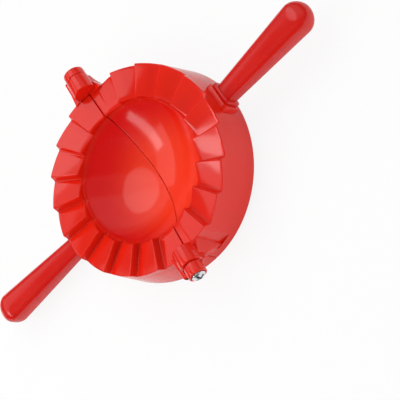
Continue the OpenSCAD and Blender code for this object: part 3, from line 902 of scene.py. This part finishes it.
def finished(name, tone, skin, tones, skins, **shader_values):
    """Material of a tone group and a skin group on a Principled shader, with the height as bump."""
    material = bpy.data.materials.new(name)
    material.use_nodes = True
    tree = material.node_tree
    shader = tree.nodes["Principled BSDF"]
    for socket, value in shader_values.items():
        shader.inputs[socket.replace("_", " ")].default_value = value
    colour = put(tree, "Group", node_tree=tone, inputs=tones)
    surface = put(tree, "Group", node_tree=skin, inputs=skins)
    bump = put(tree, "Bump", inputs={"Strength": 1.0, "Distance": MM, "Height": surface.outputs["Height"]})
    tree.links.new(colour.outputs["Colour"], shader.inputs["Base Color"])
    tree.links.new(surface.outputs["Roughness"], shader.inputs["Roughness"])
    tree.links.new(bump.outputs[0], shader.inputs["Normal"])
    return material


def paint_bowl_light_and_shade(material, painted_shade, painted_light):
    """Painted light and shade inside the bowl's radius: painted shade, a deeper red, by the wall, and painted light,
    lighter and more orange, low down.

    The painted light's share falls with the distance from an upright axis near the bowl's middle.
    """
    tree = material.node_tree
    shader = tree.nodes["Principled BSDF"]
    outside = shader.inputs["Base Color"].links[0].from_socket
    place = put(tree, "TexCoord").outputs["Object"]

    def near(x, y, radius, edge):
        """1 inside a radius of an upright axis, falling smoothly to 0 over a soft edge."""
        centred = put(tree, "VectorMath", operation="SUBTRACT", inputs={0: place, 1: (x * MM, y * MM, 0)})
        flat = put(tree, "VectorMath", operation="MULTIPLY", inputs={0: centred.outputs[0], 1: (1, 1, 0)})
        far = put(tree, "VectorMath", operation="LENGTH", inputs={0: flat.outputs[0]})
        span = {"Value": far.outputs["Value"], "From Min": radius * MM, "From Max": (radius - edge) * MM}
        return put(tree, "MapRange", interpolation_type="SMOOTHSTEP", inputs=span).outputs[0]

    # Painted shade by the bowl's wall, blended into a painted pool of orange light low in the bowl
    inner = put(tree, "Mix", data_type="RGBA", inputs={0: near(PAINTED_LIGHT_X, PAINTED_LIGHT_Y, PAINTED_LIGHT_R, PAINTED_LIGHT_EDGE), 6: painted_shade, 7: painted_light})
    mix = put(tree, "Mix", data_type="RGBA",
              inputs={0: near(0.0, RIM_Y, BOWL_R, PAINTED_BOWL_EDGE), 6: outside, 7: inner.outputs[2]})
    tree.links.new(mix.outputs[2], shader.inputs["Base Color"])


def finishes(tone, skin):
    """Materials of the halves, the handles and the screw: one tone and one skin group, each with its own values."""
    half_red = finished(
        "half_red", tone, skin, {"Colour": HALF_RED, "Deep Colour": HALF_RED_DEEP, "Scale": 26.0, "Amount": 0.6},
        {"Waves": 0.02, "Grain": 0.0012, "Scratches": 0.0015, "Roughness": 0.07, "Roughness Spread": 0.07})
    # Paints shade by the bowl's wall and a pool of light low in the bowl over the halves' red
    paint_bowl_light_and_shade(half_red, BOWL_PAINTED_SHADE, BOWL_PAINTED_LIGHT)
    handle_red = finished(
        "handle_red", tone, skin, {"Colour": HANDLE_RED, "Deep Colour": HANDLE_RED_DEEP, "Scale": 34.0, "Amount": 0.6},
        {"Waves": 0.03, "Grain": 0.0015, "Scratches": 0.002, "Roughness": 0.09, "Roughness Spread": 0.08})
    steel = finished(
        "plated_steel", tone, skin, {"Colour": STEEL, "Deep Colour": STEEL_DEEP, "Scale": 500.0, "Amount": 0.5},
        {"Waves": 0.01, "Grain": 0.004, "Scratches": 0.003, "Roughness": 0.08, "Roughness Spread": 0.1}, Metallic=1.0)
    return half_red, handle_red, steel


def left_half(material):
    """Left half: shell with notches, webs, handle's pad, arms and end knuckles."""
    parts = [half_shell(notch=True), web(), mirrored(web()), turned(pad()), left_arm(1, CAP_END),
             left_arm(-1, SCREW_ARM_END), cap(), collar()]
    piece("left_half_moulding", parts, "left", "left_half", material)


def right_half(material):
    """Right half: shell with flat ends and webs turned round, handle's pad and brackets, raised; then its knuckles."""
    shell = turned(merge(half_shell(notch=False), web(), mirrored(web())))
    parts = [raised(part) for part in (shell, pad(), right_bracket(1), right_bracket(-1))]
    parts += [knuckle(1, BORE_R, OUTER_IN - PEG_LEN - PEG_ROOM),
              knuckle(-1, SCREW_R + SCREW_HOLD, -(SCREW_SEAT - SCREW_LEN - SCREW_ROOM))]
    piece("right_half_moulding", parts, "right", "right_half", material)


def press(tone, skin):
    """The five pieces of the press."""
    half_red, handle_red, steel = finishes(tone, skin)
    left_half(half_red)
    right_half(half_red)
    piece("left_handle_moulding", [turned(handle())], "left", "left_handle", handle_red)
    piece("right_handle_moulding", [raised(handle())], "right", "right_handle", handle_red)
    piece("hinge_screw_steel", [screw()], "right", "hinge_screw", steel, SCREW_SHARP_ANGLE)


# Studio
def camera():
    """Camera at the photo's angle, with no shift."""
    data = bpy.data.cameras.new("camera")
    data.lens = CAMERA_LENS
    data.sensor_width = CAMERA_SENSOR
    data.clip_start = CAMERA_NEAR
    data.clip_end = CAMERA_FAR
    obj = bpy.data.objects.new("camera", data)
    bpy.context.scene.collection.objects.link(obj)
    axes = Matrix((CAMERA_RIGHT, CAMERA_UP, CAMERA_BACK)).transposed().normalized()
    obj.matrix_world = Matrix.Translation(Vector(CAMERA_PLACE) * MM) @ axes.to_4x4()
    bpy.context.scene.camera = obj


def white_seen(tree, seen, mirrored):
    """Share of white that a ray is given: one amount for the camera, another for rays off or through a surface."""
    path = put(tree, "LightPath")
    other = put(tree, "Math", operation="MAXIMUM",
                inputs={0: path.outputs["Is Glossy Ray"], 1: path.outputs["Is Transmission Ray"]})
    other = put(tree, "Math", operation="MULTIPLY", inputs={0: other.outputs[0], 1: mirrored})
    direct = put(tree, "Math", operation="MULTIPLY", inputs={0: path.outputs["Is Camera Ray"], 1: seen})
    return put(tree, "Math", operation="MAXIMUM", inputs={0: direct.outputs[0], 1: other.outputs[0]}).outputs[0]


def floor(tone):
    """White floor that keeps the press's shadow."""
    mesh = bpy.data.meshes.new("floor")
    corners = [(x * FLOOR_HALF, y * FLOOR_HALF, -FLOOR_DROP * MM) for x, y in ((-1, -1), (1, -1), (1, 1), (-1, 1))]
    mesh.from_pydata(corners, [], [(0, 1, 2, 3)])
    obj = bpy.data.objects.new("floor", mesh)
    bpy.context.scene.collection.objects.link(obj)
    material = bpy.data.materials.new("floor_white")
    material.use_nodes = True
    tree = material.node_tree
    shader = tree.nodes["Principled BSDF"]
    shader.inputs["Roughness"].default_value = FLOOR_ROUGHNESS
    paper = put(tree, "Group", node_tree=tone,
                inputs={"Colour": FLOOR_WHITE, "Deep Colour": FLOOR_WHITE_DEEP, "Scale": 6.0, "Amount": 0.5})
    tree.links.new(paper.outputs["Colour"], shader.inputs["Base Color"])
    white = put(tree, "Emission")
    share = white_seen(tree, FLOOR_SEEN, FLOOR_MIRRORED)
    mix = put(tree, "MixShader", inputs={0: share, 1: shader.outputs[0], 2: white.outputs[0]})
    tree.links.new(mix.outputs[0], tree.nodes["Material Output"].inputs["Surface"])
    mesh.materials.append(material)


def surroundings():
    """Even pale world, white to the camera."""
    world = bpy.data.worlds.new("studio")
    world.use_nodes = True
    tree = world.node_tree
    ground = tree.nodes["Background"]
    ground.inputs["Color"].default_value = (1, 1, 1, 1)
    share = white_seen(tree, WORLD_SEEN, WORLD_MIRRORED)
    strength = put(tree, "MapRange", inputs={"Value": share, "To Min": WORLD_GREY})
    tree.links.new(strength.outputs[0], ground.inputs["Strength"])
    bpy.context.scene.world = world
    bpy.context.scene.view_settings.view_transform = "Standard"


def lamp(name, turn, rise, distance, size, radiance, glossy=True, shape="RECTANGLE", roll=0.0):
    """Area lamp that faces the press from a direction in degrees, rolled about it, with a radiance over its face."""
    data = bpy.data.lights.new(name, "AREA")
    data.shape = shape
    data.size, data.size_y = size
    area = size[0] * size[1] * (math.pi / 4 if shape == "ELLIPSE" else 1)
    data.energy = radiance * math.pi * area
    obj = bpy.data.objects.new(name, data)
    bpy.context.scene.collection.objects.link(obj)
    t, r = math.radians(turn), math.radians(rise)
    way = Vector((math.cos(r) * math.cos(t), math.cos(r) * math.sin(t), math.sin(r)))
    obj.location = way * distance + Vector((0, 0, LAMP_AIM))
    obj.rotation_euler = (way.to_track_quat("Z", "Y") @ Quaternion((0, 0, 1), math.radians(roll))).to_euler()
    obj.visible_glossy = glossy


def studio():
    """The press on its floor, with its world, camera and lamps."""
    tone, skin = tone_group(), skin_group()
    press(tone, skin)
    floor(tone)
    surroundings()
    camera()
    for name, values in LAMPS.items():
        lamp(name, **values)


studio()
